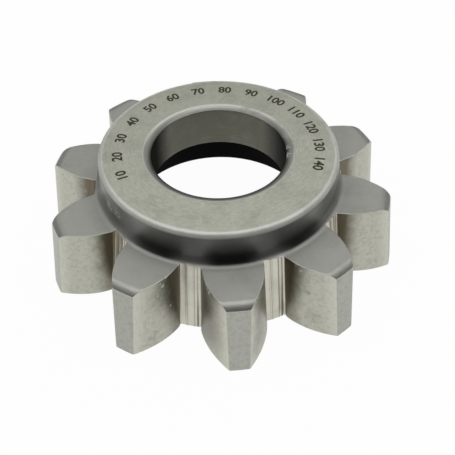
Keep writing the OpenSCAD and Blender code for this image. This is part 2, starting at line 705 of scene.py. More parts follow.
    def section(self) -> tuple[Points, Points]:
        """Turned half section from the mouth of the cup, through the bore, to the foot of the hub's wall.

        Returns:
            Points (radius, height), and the region of each step between them.
        """
        top, hub, edge = self.height, self.hub_r, self.hub_edge
        bore, chamfer, lip_r = self.bore_r, self.bore_chamfer, self.bore_r + self.lip_width
        recess, seat, bend = self.recess_r, self.recess_floor, self.recess_corner
        mouth = (self.mouth_r, float(self.teeth.face_height(self.mouth_r)))
        arc_r = arc_radius(self.lip_width, self.lip_drop)
        lean, quarter = math.asin(self.lip_width / arc_r), math.pi / 2
        return self.joined([
            (Line(mouth, (recess, self.mouth_height), 5), Region.RECESS),
            (Line((recess, self.mouth_height), (recess, seat - bend), 6), Region.RECESS),
            (Arc((recess - bend, seat - bend), bend, 0, quarter, 5), Region.RECESS),
            (Line((recess - bend, seat), (bore + chamfer, seat), 4), Region.RECESS),
            (Line((bore + chamfer, seat), (bore, seat + chamfer), 1), Region.BORE),
            (Line((bore, seat + chamfer), (bore, top - self.lip_drop), 6), Region.BORE),
            (Arc((lip_r, top - arc_r), arc_r, quarter + lean, quarter, 7), Region.LIP),
            (Line((lip_r, top), (hub - edge, top), 8), Region.TOP),
            (Arc((hub - edge, top - edge), edge, quarter, 0, 9), Region.EDGE),
            (Line((hub, top - edge), (hub, self.teeth.length + self.hub_fillet), 6), Region.WALL),
        ])

    def joined(self, legs: Sequence[tuple[Line | Arc, Region]]) -> tuple[Points, Points]:
        """Joins the legs of a section; where two meet at an angle, a parabola rounds the corner.

        Args:
            legs: Lines and arcs end to end, each with its region.

        Returns:
            Points of the section, and the region of each step.
        """
        points: list[Points] = []
        regions: list[int] = []
        for number, (leg, region) in enumerate(legs):
            cut = self.turned_edge / leg.length
            sharp_start = number > 0 and self.is_sharp(legs[number - 1][0], leg)
            sharp_end = number + 1 < len(legs) and self.is_sharp(leg, legs[number + 1][0])
            t = np.linspace(cut if sharp_start else 0, 1 - cut if sharp_end else 1, leg.steps + 1)
            stretch = leg.at(t)
            if sharp_start:
                points.append(parabola_middle(points[-1][-1:], leg.at(np.zeros(1)), stretch[:1]))
                regions += [region, region]
            elif number:
                stretch = stretch[1:]
            points.append(stretch)
            regions += [region] * leg.steps
        return np.concatenate(points), np.array(regions)

    @staticmethod
    def is_sharp(first: Line | Arc, second: Line | Arc) -> bool:
        """Whether two legs meet at more than ten degrees.

        Args:
            first: The leg that ends where they meet.
            second: The leg that starts there.

        Returns:
            True where the corner needs a round.
        """
        near_end, near_start = np.array([0.99, 1.0]), np.array([0.0, 0.01])
        a, b = np.diff(first.at(near_end), axis=0)[0], np.diff(second.at(near_start), axis=0)[0]
        cosine = float(a @ b) / float(np.linalg.norm(a) * np.linalg.norm(b))
        return cosine < math.cos(math.radians(10))

    def wall_regions(self) -> Points:
        """Region of each column of the toothed wall.

        Returns:
            The regions all the way round.
        """
        t = self.teeth
        left, tip, _, down, blend, floor, rise, _ = t.counts()
        one = [Region.TIP] * (left + tip) + [Region.FLANK] * down
        one += [Region.FLOOR] * (blend + floor + rise + 1)
        one += [Region.FLANK] * (sum(t.counts()) - len(one))
        return np.tile(one, t.teeth)

    def sheet_regions(self, sheet: Points) -> Points:
        """Region of each row of a tooth's back: level back, then heel."""
        middle = np.abs(sheet[:, sheet.shape[1] // 2])
        return np.where((middle[:-1] + middle[1:]) / 2 > self.teeth.heel_r, Region.HEEL, Region.BACK)

    def collar_regions(self, z: Points) -> Points:
        """Region of each quad of the collar: back where it is level, else fillet.

        Args:
            z: Heights of the collar's points.

        Returns:
            The regions all the way round.
        """
        level = z <= self.teeth.length + 1e-9
        both = level[:-1] & level[1:]
        return np.tile(np.where(both, Region.BACK, Region.FILLET), self.teeth.teeth)

    def build(self) -> bpy.types.Object:
        """Builds the body: the rims and walls of the teeth, their backs and faces, the hub, and the mouth.

        Returns:
            The body as one closed mesh, with its regions as material slots.
        """
        t = self.teeth
        body = Surface()
        top, bottom = self.settle(self.upper), self.settle(t.face_height)
        inner_top, rows, heights = self.rim(top, self.upper, -self.edge)
        body.add(self.ring_of(rows, heights), Region.RIM, closed=True)
        inner_bottom, low_rows, low_heights = self.rim(bottom, t.face_height, self.edge)
        body.add(self.ring_of(low_rows, low_heights), Region.RIM, closed=True)

        share = np.linspace(0, 1, self.wall_rows + 1)[:, None]
        z = heights[-1] + (low_heights[-1] - heights[-1]) * share
        body.add(self.ring_of(t.outline(z), z), self.wall_regions()[None], closed=True)

        back, face = self.tooth_sheet(inner_top), self.tooth_sheet(inner_bottom)
        for number in range(t.teeth):
            turn = np.exp(1j * (number * t.step - math.pi / 2))
            body.add(space(back * turn, self.upper(np.abs(back))), self.sheet_regions(back))
            body.add(space(face * turn, t.face_height(np.abs(face))), Region.CUTTING_FACE)

        ends = self.root_columns(back, inner_top)
        angle = self.hub_angles(ends)
        plane, z = self.collar(ends, angle)
        body.add(self.ring_of(plane, z), self.collar_regions(z), closed=True)

        section, regions = self.section()
        plane = polar(section[:, :1], angle)
        body.add(self.ring_of(plane, np.broadcast_to(section[:, 1:], plane.shape)), regions, closed=True)

        low_ends = self.root_columns(face, inner_bottom)
        share = np.linspace(0, 1, self.skirt_rows + 1)[:, None]
        r = np.abs(low_ends) + (self.mouth_r - np.abs(low_ends)) * share
        plane = polar(r, np.angle(low_ends) + (angle - np.angle(low_ends)) * share)
        body.add(self.ring_of(plane, t.face_height(r)), Region.CUTTING_FACE, closed=True)
        return body.build("cutter_body", self.weld)

    def dress(self, body: bpy.types.Object) -> None:
        """Fills the body's slots with the finish of each region, in order."""
        for region in Region:
            body.data.materials.append(FINISHES[region].material())


class Value:
    """A socket that carries one number, with the operators that are used, each as a Math node."""

    def __init__(self, graph: "Graph", socket: bpy.types.NodeSocket) -> None:
        """Keeps the socket and the graph that it belongs to."""
        self.graph = graph
        self.socket = socket

    def __add__(self, other: "Value | float") -> "Value":
        """Sum."""
        return self.graph.maths("ADD", self, other)

    def __radd__(self, other: float) -> "Value":
        """Sum with a number in front."""
        return self.graph.maths("ADD", other, self)

    def __sub__(self, other: "Value | float") -> "Value":
        """Difference."""
        return self.graph.maths("SUBTRACT", self, other)

    def __rsub__(self, other: float) -> "Value":
        """Difference from a number."""
        return self.graph.maths("SUBTRACT", other, self)

    def __mul__(self, other: "Value | float") -> "Value":
        """Product."""
        return self.graph.maths("MULTIPLY", self, other)

    def __rmul__(self, other: float) -> "Value":
        """Product with a number in front."""
        return self.graph.maths("MULTIPLY", other, self)

    def __truediv__(self, other: "Value | float") -> "Value":
        """Quotient."""
        return self.graph.maths("DIVIDE", self, other)

    def __rtruediv__(self, other: float) -> "Value":
        """Quotient of a number and the value."""
        return self.graph.maths("DIVIDE", other, self)

    def __abs__(self) -> "Value":
        """Size without the sign."""
        return self.graph.maths("ABSOLUTE", self)

    def clamped(self) -> "Value":
        """The value held between 0 and 1."""
        return self.between(0, 1, smooth=False)

    def between(self, low: float, high: float, smooth: bool = True) -> "Value":
        """0 at low and 1 at high, with an even or a smooth rise from one to the other.

        Args:
            low: Value at which the result is 0.
            high: Value at which the result is 1.
            smooth: Whether the rise is smooth.

        Returns:
            The mapped value.
        """
        kind = "SMOOTHSTEP" if smooth else "LINEAR"
        return self.graph.number("ShaderNodeMapRange", "Result", {"interpolation_type": kind},
                                 {"Value": self, "From Min": low, "From Max": high})


class Graph:
    """Node tree of one material or of the world, with one method for every kind of node."""

    # Numbers of the Mix node's sockets for colours: factor, both colours, and the result
    MIX_SOCKETS = (0, 6, 7)
    MIX_RESULT = 2

    def __init__(self, tree: bpy.types.NodeTree) -> None:
        """Takes over the tree and empties it."""
        self.tree = tree
        tree.nodes.clear()

    @cached_property
    def place(self) -> bpy.types.NodeSocket:
        """The point's place in Object coordinates."""
        return self.node("ShaderNodeTexCoord").outputs["Object"]

    def node(self, kind: str, settings: dict[str, Any] | None = None,
             inputs: dict[str | int, Any] | None = None) -> bpy.types.Node:
        """Adds a node.

        Args:
            kind: The node's type.
            settings: Attributes of the node, set first, such as a Math node's operation.
            inputs: Numbers, colours, sockets or Values for its inputs, by name or by number.

        Returns:
            The new node.
        """
        node = self.tree.nodes.new(kind)
        for key, value in (settings or {}).items():
            setattr(node, key, value)
        for key, value in (inputs or {}).items():
            target = node.inputs[key]
            if isinstance(value, Value):
                value = value.socket
            if isinstance(value, bpy.types.NodeSocket):
                self.tree.links.new(value, target)
            else:
                target.default_value = value
        return node

    def number(self, kind: str, output: str, settings: dict[str, Any] | None = None,
               inputs: dict[str | int, Any] | None = None) -> Value:
        """Adds a node and takes one of its outputs as a number.

        Args:
            kind: The node's type.
            output: Name of the output.
            settings: Attributes of the node.
            inputs: What its inputs take.

        Returns:
            The output.
        """
        return Value(self, self.node(kind, settings, inputs).outputs[output])

    def maths(self, operation: str, *values: "Value | float") -> Value:
        """A Math node on one, two or three values."""
        return self.number("ShaderNodeMath", "Value", {"operation": operation}, dict(enumerate(values)))

    def radius(self) -> Value:
        """Distance from the axis: the length of the place with its height taken away."""
        flat = self.stretched((1, 1, 0))
        return self.number("ShaderNodeVectorMath", "Value", {"operation": "LENGTH"}, {0: flat})

    def along(self, axis: Axis) -> Value:
        """The place along an axis."""
        return self.number("ShaderNodeSeparateXYZ", axis.value, None, {"Vector": self.place})

    def angle(self) -> Value:
        """Angle round the axis."""
        return self.maths("ARCTAN2", self.along(Axis.Y), self.along(Axis.X))

    def across_space(self, step: float) -> Value:
        """Distance across a tooth space from its middle line.

        Formula: the radius times the sine of the angle, once whole steps of the teeth are taken away
        and it is counted from the middle of the space; the first tooth lies along -Y.

        Args:
            step: Angle from one tooth to the next.

        Returns:
            The distance, negative on the side of the tooth before.
        """
        turned = self.maths("WRAP", self.angle() + math.pi / 2, step, 0.0)
        return self.radius() * self.maths("SINE", turned - step / 2)

    def joined(self, x: "Value | float", y: "Value | float", z: "Value | float") -> bpy.types.NodeSocket:
        """A vector of three numbers."""
        return self.node("ShaderNodeCombineXYZ", None, {0: x, 1: y, 2: z}).outputs["Vector"]

    def stretched(self, scale: tuple[float, float, float]) -> bpy.types.NodeSocket:
        """The place with each axis times its own factor."""
        node = self.node("ShaderNodeVectorMath", {"operation": "MULTIPLY"}, {0: self.place, 1: scale})
        return node.outputs["Vector"]

    def noise(self, vector: bpy.types.NodeSocket, scale: float, detail: float = 3.0,
              roughness: float = 0.55) -> Value:
        """Noise between about 0.2 and 0.8, with finer detail on it.

        Args:
            vector: Where it is taken.
            scale: Waves for each metre.
            detail: How many finer layers it has.
            roughness: How strong they are.

        Returns:
            The noise.
        """
        return self.number("ShaderNodeTexNoise", "Fac", None,
                           {"Vector": vector, "Scale": scale, "Detail": detail, "Roughness": roughness})

    def line_noise(self, w: Value, scale: float, detail: float) -> Value:
        """Noise along one number only, so that it makes even lines.

        Args:
            w: The number.
            scale: Waves for each metre.
            detail: How many finer layers it has.

        Returns:
            The noise.
        """
        return self.number("ShaderNodeTexNoise", "Fac", {"noise_dimensions": "1D"},
                           {"W": w, "Scale": scale, "Detail": detail, "Roughness": 0.6})

    def mix(self, factor: Value, first: Any, second: Any) -> bpy.types.NodeSocket:
        """Colour between two colours.

        Args:
            factor: 0 for the first and 1 for the second.
            first: A colour or its socket.
            second: A colour or its socket.

        Returns:
            The mixed colour.
        """
        colours = [(*colour, 1) if isinstance(colour, tuple) else colour for colour in (first, second)]
        inputs = dict(zip(self.MIX_SOCKETS, (factor, *colours)))
        return self.node("ShaderNodeMix", {"data_type": "RGBA"}, inputs).outputs[self.MIX_RESULT]

    def finish(self, shader: bpy.types.Node, kind: str = "ShaderNodeOutputMaterial") -> None:
        """Ends the tree with a shader."""
        self.node(kind, None, {"Surface": shader.outputs[0]})


def new_material(name: str) -> tuple[bpy.types.Material, Graph]:
    """Makes a material.

    Args:
        name: Its name.

    Returns:
        The material and its empty graph.
    """
    material = bpy.data.materials.new(name)
    material.use_nodes = True
    return material, Graph(material.node_tree)


@dataclass(frozen=True)
class Spot:
    """Round patch with a soft edge, by its middle and its reach."""

    # Share of the reach within which the patch is full
    CORE = 0.3

    middle: tuple[float, float, float]
    reach: float

    def near(self, graph: Graph) -> Value:
        """1 in the core of the patch and 0 past its reach."""
        distance = graph.number("ShaderNodeVectorMath", "Value", {"operation": "DISTANCE"},
                                {0: graph.place, 1: self.middle})
        return 1 - distance.between(self.reach * self.CORE, self.reach)


@dataclass(frozen=True)
class Nick(Spot):
    """Small patch of bright nicks."""

    # Level of the noise above which the steel is bright: a low level gives one full nick
    level: float = 0.45
    # How the dashes are drawn out, how fine they are, and how soft their edges
    stretch: tuple[float, float, float] = (1.5, 1.2, 0.55)
    fineness: float = 2000.0
    softness: float = 0.06

    def mask(self, graph: Graph) -> Value:
        """1 on the nicks and 0 off them: near the middle, where a fine, drawn-out noise is high."""
        dashes = graph.noise(graph.stretched(self.stretch), self.fineness, 2, 0.6)
        return self.near(graph) * dashes.between(self.level, self.level + self.softness)


@dataclass(frozen=True)
class SmudgeAndShade(Spot):
    """Soft dull patch, uneven inside, which makes a smudge and, on the flanks of the front teeth, painted
    shade.
    """

    amount: float
    scale: float
    # Levels of the noise between which it comes in
    low: float = 0.28
    high: float = 0.68

    def mask(self, graph: Graph) -> Value:
        """Up to the amount near the middle, and less where a noise is low."""
        cloud = graph.noise(graph.place, self.scale, 4, 0.65)
        return self.near(graph) * cloud.between(self.low, self.high) * self.amount


@dataclass(frozen=True)
class Streak:
    """Soft line: how wide its core is, how far it reaches on each side, and how much of it shows."""

    core: float
    reach: float
    amount: float

    def mask(self, offset: Value) -> Value:
        """Up to the amount on the line and 0 past its reach, by the offset from its middle."""
        return (1 - abs(offset).between(self.core, self.reach)) * self.amount


@dataclass(frozen=True)
class SteelFinish:
    """One machined face of the steel: its colour, its gloss and the fine lines on it."""

    name: str
    colour: Colour
    roughness: float
    lay: Lay = Lay.EVEN
    # Second colour in soft patches, how much of it shows, the patches' scale, and the noise's levels
    patch: Colour = (0.25, 0.24, 0.21)
    patch_amount: float = 0.25
    patch_scale: float = 120.0
    patch_low: float = 0.42
    patch_high: float = 0.72
    # How strongly the fine lines show in the colour and the gloss, how deep and how fine they are
    line_colour: float = 0.08
    line_gloss: float = 0.08
    line_depth: float = 0.000004
    line_scale: float = 2600.0
    # How short the strokes of the ring lay are: radius of the circle that the noise follows
    stroke: float = 0.009
    # How far the lines of the hoop lay waver, the scale of that, and how drawn out the lengthwise lines are
    hoop_waver: float = 0.0003
    hoop_scale: float = 60.0
    draw: float = 0.03
    # How strongly a fine grain shows in the colour, and its scale
    grain: float = 0.05
    grain_scale: float = 4500.0
    # How much the gloss varies in clouds, and their scale against the patches'
    cloud_gloss: float = 0.12
    cloud_scale: float = 2.3
    # Share of the surface that is bare metal, and the sheen of the rest
    metal: float = 1.0
    sheen: float = 0.5
    # Patches of bright nicks: their colour, their depth against the lines', and the bare metal that they take
    nicks: tuple[Nick, ...] = ()
    nick_colour: Colour = (0.95, 0.94, 0.9)
    nick_depth: float = 8.0
    nick_dull: float = 0.8
    # Dull smudges and patches of painted shade, and their colour
    smudges_and_shades: tuple[SmudgeAndShade, ...] = ()
    smudge_and_shade_colour: Colour = (0.12, 0.105, 0.08)

    def lines(self, graph: Graph) -> Value:
        """Fine lines in the direction of the lay.

        Args:
            graph: The material's graph.

        Returns:
            A noise of about 0.5 on the average.
        """
        if self.lay is Lay.RINGS:
            radius = graph.radius()
            way = [graph.along(axis) / radius * self.stroke for axis in (Axis.X, Axis.Y)]
            return graph.noise(graph.joined(radius, *way), self.line_scale, 3, 0.6)
        if self.lay is Lay.HOOPS:
            drift = graph.noise(graph.place, self.hoop_scale, 2) * self.hoop_waver
            return graph.line_noise(graph.along(Axis.Z) + drift, self.line_scale, 4)
        if self.lay is Lay.LENGTHWISE:
            return graph.noise(graph.stretched((1, 1, self.draw)), self.line_scale, 3, 0.6)
        return graph.noise(graph.place, self.line_scale, 4, 0.7)

    def colour_of(self, graph: Graph, lines: Value) -> bpy.types.NodeSocket:
        """Base colour: soft patches, the stains and painted light of the kind of face, the smudges and
        patches of painted shade, then the lines and a fine grain.

        Args:
            graph: The material's graph.
            lines: The fine lines.

        Returns:
            The colour.
        """
        cloud = graph.noise(graph.place, self.patch_scale, 5, 0.68)
        patches = cloud.between(self.patch_low, self.patch_high) * self.patch_amount
        base = self.stains_and_painted_light(graph, graph.mix(patches, self.colour, self.patch))
        for dark_patch in self.smudges_and_shades:
            base = graph.mix(dark_patch.mask(graph), base, self.smudge_and_shade_colour)
        grain = graph.noise(graph.place, self.grain_scale, 3)
        tone = 1 + (lines - 0.5) * self.line_colour * 2 + (grain - 0.5) * self.grain * 2
        node = graph.node("ShaderNodeVectorMath", {"operation": "SCALE"}, {0: base, "Scale": tone})
        return node.outputs["Vector"]

    def stains_and_painted_light(self, graph: Graph, base: bpy.types.NodeSocket) -> bpy.types.NodeSocket:
        """Colour with the stains, painted light and painted shade that only this kind of face has; a plain
        face has none.
        """
        return base

    def metal_of(self, graph: Graph) -> Value | float:
        """Share of bare metal."""
        return self.metal

    def material(self) -> bpy.types.Material:
        """Makes the finish's material: colour, gloss and metal by the methods above, with the nicks on them.

        Returns:
            The material.
        """
        material, graph = new_material(self.name)
        lines = self.lines(graph)
        base, relief, metal = self.colour_of(graph, lines), lines, self.metal_of(graph)
        cloud = graph.noise(graph.place, self.patch_scale * self.cloud_scale, 3)
        gloss = self.roughness + (lines - 0.5) * self.line_gloss * 2 + (cloud - 0.5) * self.cloud_gloss
        for nick in self.nicks:
            mask = nick.mask(graph)
            base = graph.mix(mask, base, self.nick_colour)
            relief = relief - mask * self.nick_depth
            metal = metal - mask * self.nick_dull
        bump = graph.node("ShaderNodeBump", None,
                          {"Strength": 1.0, "Distance": self.line_depth, "Height": relief})
        graph.finish(graph.node("ShaderNodeBsdfPrincipled", None, {
            "Base Color": base, "Metallic": metal, "Roughness": gloss.clamped(),
            "Specular IOR Level": self.sheen, "Normal": bump.outputs["Normal"],
        }))
        return material


@dataclass(frozen=True)
class HubWallFinish(SteelFinish):
    """Wall of the hub, with painted shade: darker in front, and a dark band of painted shade that stays low
    over the backs of the teeth, for the dark reflection there.
    """

    # The darker colour, painted shade for the dark reflection on the wall's front, how much of it shows, and
    # the places along Y where it is full and where it ends
    front: Colour = (0.148, 0.148, 0.14)
    front_amount: float = 0.9
    front_at: float = -0.036
    side_at: float = -0.012
    # The dark band of painted shade low on the wall, the heights between which it comes in, and the height at
    # which it has faded out
    painted_shade: Colour = (0.008, 0.008, 0.007)
    painted_shade_low: float = 0.0268
    painted_shade_mid: float = 0.0274
    painted_shade_high: float = 0.0372
    # Where the painted shade starts and is full, across the backs from the middle of a tooth space
    painted_shade_start: float = 0.0010
    painted_shade_full: float = 0.0090
    # How much of it shows over the backs and over the spaces, and the share that stays behind the hub
    painted_shade_over_backs: float = 0.96
    painted_shade_over_spaces: float = 0.46
    painted_shade_behind: float = 0.25
    # Depth and scale of its ragged upper edge
    ragged_depth: float = 0.0016
    ragged_scale: float = 110.0
    teeth: ToothForm = ToothForm()

    def in_front(self, graph: Graph) -> Value:
        """1 in front and 0 at the sides and behind."""
        return 1 - graph.along(Axis.Y).between(self.front_at, self.side_at)

    def darkened(self, graph: Graph, base: Colour | bpy.types.NodeSocket) -> bpy.types.NodeSocket:
        """Colour that passes into the darker one in front: painted shade."""
        return graph.mix(self.in_front(graph) * self.front_amount, base, self.front)

    def with_painted_shade(self, graph: Graph, base: bpy.types.NodeSocket) -> bpy.types.NodeSocket:
        """Colour under the painted shade, which follows the height and the angle of the teeth, with soft
        edges.

        Args:
            graph: The material's graph.
            base: The colour.

        Returns:
            The colour with the painted shade on it.
        """
        height = graph.along(Axis.Z)
        ragged = height + (graph.noise(graph.place, self.ragged_scale, 3, 0.6) - 0.5) * self.ragged_depth
        below = 1 - ragged.between(self.painted_shade_mid, self.painted_shade_high)
        over_back = abs(graph.across_space(self.teeth.step)).between(self.painted_shade_start, self.painted_shade_full)
        painted_shade = over_back * below * self.painted_shade_over_backs + (1 - over_back) * self.painted_shade_over_spaces
        seen = self.in_front(graph) * (1 - self.painted_shade_behind) + self.painted_shade_behind
        return graph.mix(painted_shade * height.between(self.painted_shade_low, self.painted_shade_mid) * seen, base, self.painted_shade)

    def stains_and_painted_light(self, graph: Graph, base: bpy.types.NodeSocket) -> bpy.types.NodeSocket:
        """The darker front, then the low band, both painted shade."""
        return self.with_painted_shade(graph, self.darkened(graph, base))


@dataclass(frozen=True)
class HubFilletFinish(HubWallFinish):
    """Fillet of the hub, which takes on the wall's colours, with their painted shade, at its top, and has the
    wall's low band of painted shade.
    """

    wall: Colour = (0.40, 0.40, 0.38)
    wall_from: float = 0.0270
    wall_full: float = 0.0292

    def stains_and_painted_light(self, graph: Graph, base: bpy.types.NodeSocket) -> bpy.types.NodeSocket:
        """The wall's colours, darker in front by painted shade, by height over the fillet's own, then the
        painted shade of the low band.
        """
        rising = graph.along(Axis.Z).between(self.wall_from, self.wall_full)
        return self.with_painted_shade(graph, graph.mix(rising, base, self.darkened(graph, self.wall)))


@dataclass(frozen=True)
class FadingFinish(SteelFinish):
    """A face whose colour passes into a darker and duller one along an axis: painted shade."""

    dark: Colour = (0.2, 0.2, 0.19)
    dark_metal: float = 0.42
    axis: Axis = Axis.Z
    # Where the fade is counted from, and the distances from there at which the face is light and dark
    centre: float = 0.0
    light_at: float = 1.0
    dark_at: float = 0.0

    def fade(self, graph: Graph) -> Value:
        """0 where the face is light and 1 where it is dark, by the distance from the centre."""
        return abs(graph.along(self.axis) - self.centre).between(self.light_at, self.dark_at)

    def stains_and_painted_light(self, graph: Graph, base: bpy.types.NodeSocket) -> bpy.types.NodeSocket:
        """The darker colour, painted shade, by the fade."""
        return graph.mix(self.fade(graph), base, self.dark)

    def metal_of(self, graph: Graph) -> Value | float:
        """Share of bare metal by the fade."""
        return self.metal + self.fade(graph) * (self.dark_metal - self.metal)


@dataclass(frozen=True)
class LipFinish(SteelFinish):
    """Lip round the bore, with painted light: a painted highlight as a bright line where it leaves the top,
    brightest behind, and painted shade inside it.
    """

    # The line, a painted highlight, and the radii between which it comes in
    line: Colour = (0.62, 0.625, 0.565)
    line_in: float = 0.02416
    line_out: float = 0.02476
    # The brighter colour behind the bore, a painted highlight, and the radii between which it comes in
    lip_highlight: Colour = (0.76, 0.765, 0.70)
    lip_highlight_in: float = 0.0237
    lip_highlight_out: float = 0.0242
    # The painted shade, and the radii between which it fades out at the sides and behind the bore
    shade: Colour = (0.19, 0.19, 0.175)
    side_in: float = 0.02225
    side_out: float = 0.02355
    back_in: float = 0.0229
    back_out: float = 0.0238
    # Distances from the axis, to the side and to the back, between which those parts of the lip begin
    side_from: float = 0.010
    side_full: float = 0.020
    back_from: float = 0.002
    back_full: float = 0.016

    def stains_and_painted_light(self, graph: Graph, base: bpy.types.NodeSocket) -> bpy.types.NodeSocket:
        """The painted highlights of the line and the brighter part, and the painted shade, by the distance
        from the axis.

        Args:
            graph: The material's graph.
            base: The lip's own colour.

        Returns:
            The colour with those parts.
        """
        radius = graph.radius()
        behind = graph.along(Axis.Y).between(self.back_from, self.back_full)
        beside = abs(graph.along(Axis.X)).between(self.side_from, self.side_full) * (1 - behind)
        base = graph.mix(radius.between(self.line_in, self.line_out), base, self.line)
        base = graph.mix(radius.between(self.lip_highlight_in, self.lip_highlight_out) * behind, base, self.lip_highlight)
        base = graph.mix((1 - radius.between(self.side_in, self.side_out)) * beside, base, self.shade)
        return graph.mix((1 - radius.between(self.back_in, self.back_out)) * behind, base, self.shade)


@dataclass(frozen=True)
class FlankFinish(SteelFinish):
    """Ground flanks, brown and darker towards the roots of the teeth by painted shade, and lighter along the
    tips by a painted highlight.
    """

    # The painted shade near the roots, in brown, the distances from the floor between which it fades, and how
    # much wider it gets upwards
    brown_and_shade: Colour = (0.13, 0.115, 0.085)
    root_shade_from: float = 0.0
    root_shade_to: float = 0.0068
    root_shade_lean: float = 0.05
    # Depth and scale of its broken edge
    broken_depth: float = 0.0036
    broken_scale: float = 260.0
    # How much of it shows at the cutting face, how much more towards the backs, and where it is full
    root_shade_low: float = 0.7
    root_shade_more: float = 0.24
    root_shade_rise: float = 0.6
    # Brighter colour along the tips, a painted highlight, how far it reaches down the flanks and how much of
    # it shows
    tip_highlight: Colour = (0.66, 0.66, 0.575)
    tip_highlight_width: float = 0.0038
    tip_highlight_amount: float = 0.55
    teeth: ToothForm = ToothForm()

    def stains_and_painted_light(self, graph: Graph, base: bpy.types.NodeSocket) -> bpy.types.NodeSocket:
        """Brighter near the tip by a painted highlight, and brown near the root by painted shade, with a soft
        broken edge.

        Args:
            graph: The material's graph.
            base: The flanks' own colour.

        Returns:
            The colour with both.
        """
        height = graph.along(Axis.Z)
        depth = graph.radius() + height * (self.teeth.relief - self.root_shade_lean) - self.teeth.root_r
        broken = depth + (graph.noise(graph.place, self.broken_scale, 4, 0.65) - 0.5) * self.broken_depth
        near_root = 1 - broken.between(self.root_shade_from, self.root_shade_to)
        upper = height.between(0.0, self.teeth.length * self.root_shade_rise) * self.root_shade_more + self.root_shade_low
        below_tip = self.teeth.tip_r - graph.radius() - height * self.teeth.relief
        near_tip = 1 - below_tip.between(0.0, self.tip_highlight_width)
        base = graph.mix(near_tip * self.tip_highlight_amount, base, self.tip_highlight)
        return graph.mix(near_root * upper, base, self.brown_and_shade)


@dataclass(frozen=True)
class FloorFinish(SteelFinish):
    """Ground floors of the tooth spaces: bright strips of the wheel passes with brown lines between them,
    those on the ridges and along the edges painted shade.
    """

    brown_and_shade: Colour = (0.14, 0.11, 0.07)
    # Fine strips along the floor: how drawn out they are, their scale, the noise's levels, and how brown
    strip_draw: float = 0.012
    strip_scale: float = 1500.0
    strip_low: float = 0.5
    strip_high: float = 0.75
    strip_amount: float = 0.35
    # How far the lines waver, as a share of the floor's width, and the scale of that
    line_waver: float = 0.02
    waver_scale: float = 70.0
    # Lines on the two ridges, a wide one beside the last pass, and the edges, in shares of the floor's width;
    # those on the ridges and the edges are painted shade
    ridge: Streak = Streak(0.004, 0.03, 0.55)
    valley: Streak = Streak(0.01, 0.07, 0.85)
    valley_at: float = 0.84
    edge_from: float = 0.485
    edge_full: float = 0.52
    edge_amount: float = 0.9
    # Heights between which the wide line fades towards the backs, and how much of it goes
    fade_from: float = 0.006
    fade_to: float = 0.022
    fade_amount: float = 0.8
    teeth: ToothForm = ToothForm()

    def stains_and_painted_light(self, graph: Graph, base: bpy.types.NodeSocket) -> bpy.types.NodeSocket:
        """Fine strips along the floor, brown lines of painted shade on the ridges, a brown valley, and brown
        edges of painted shade.

        Args:
            graph: The material's graph.
            base: The floors' own colour.

        Returns:
            The colour with all of them.
        """
        across, along = graph.across_space(self.teeth.step), graph.along(Axis.Z)
        share = across / self.teeth.floor_width + 0.5
        strips = graph.noise(graph.joined(across, along * self.strip_draw, 0.0), self.strip_scale, 2, 0.5)
        striped = strips.between(self.strip_low, self.strip_high) * self.strip_amount
        base = graph.mix(striped, base, self.brown_and_shade)
        wavering = share + (graph.noise(graph.place, self.waver_scale, 1) - 0.5) * self.line_waver
        for ridge_at in self.teeth.pass_edges[1:3]:
            base = graph.mix(self.ridge.mask(wavering - ridge_at), base, self.brown_and_shade)
        fading = 1 - along.between(self.fade_from, self.fade_to) * self.fade_amount
        base = graph.mix(self.valley.mask(wavering - self.valley_at) * fading, base, self.brown_and_shade)
        edges = abs(share - 0.5).between(self.edge_from, self.edge_full)
        return graph.mix(edges * self.edge_amount, base, self.brown_and_shade)


@dataclass(frozen=True)
class MarkFinish:
    """Dark brown surface of a laser mark, in clouds of a lighter brown."""

    name: str = "laser_mark"
    colour: Colour = (0.035, 0.028, 0.018)
    # How much lighter the clouds are, their scale, and the noise's levels
    lighter: float = 2.2
    cloud_scale: float = 1500.0
    cloud_low: float = 0.3
    cloud_high: float = 0.7
    metal: float = 0.4
    roughness: float = 0.5
    cloud_gloss: float = 0.2

    def material(self) -> bpy.types.Material:
        """Makes the finish's material.

        Returns:
            The material.
        """
        material, graph = new_material(self.name)
        cloud = graph.noise(graph.place, self.cloud_scale, 3)
        lighter = tuple(self.lighter * part for part in self.colour)
        base = graph.mix(cloud.between(self.cloud_low, self.cloud_high), self.colour, lighter)
        gloss = self.roughness + cloud * self.cloud_gloss
        graph.finish(graph.node("ShaderNodeBsdfPrincipled", None,
                                {"Base Color": base, "Metallic": self.metal, "Roughness": gloss}))
        return material


# Nicks and smudges on the flanks, on the hub's wall and round the bore, with patches of painted shade among
# the flanks' smudges
FLANK_NICKS = (
    Nick((-0.0205, -0.0432, 0.0267), 0.0007),
    Nick((-0.0221, -0.0445, 0.0256), 0.0006),
    Nick((-0.0216, -0.0441, 0.0243), 0.0010),
    Nick((-0.0234, -0.0456, 0.0213), 0.0006),
    Nick((-0.0197, -0.0434, 0.0141), 0.0006),
    Nick((-0.0088, -0.0471, 0.0268), 0.0007),
    Nick((-0.0085, -0.0483, 0.0261), 0.0008, 0.40),
    Nick((-0.0080, -0.0496, 0.0256), 0.0010, 0.38),
    Nick((0.0061, -0.0536, 0.0262), 0.0007),
    Nick((0.0193, -0.0422, 0.0259), 0.0008),
    Nick((0.0206, -0.0435, 0.0249), 0.0009),
)
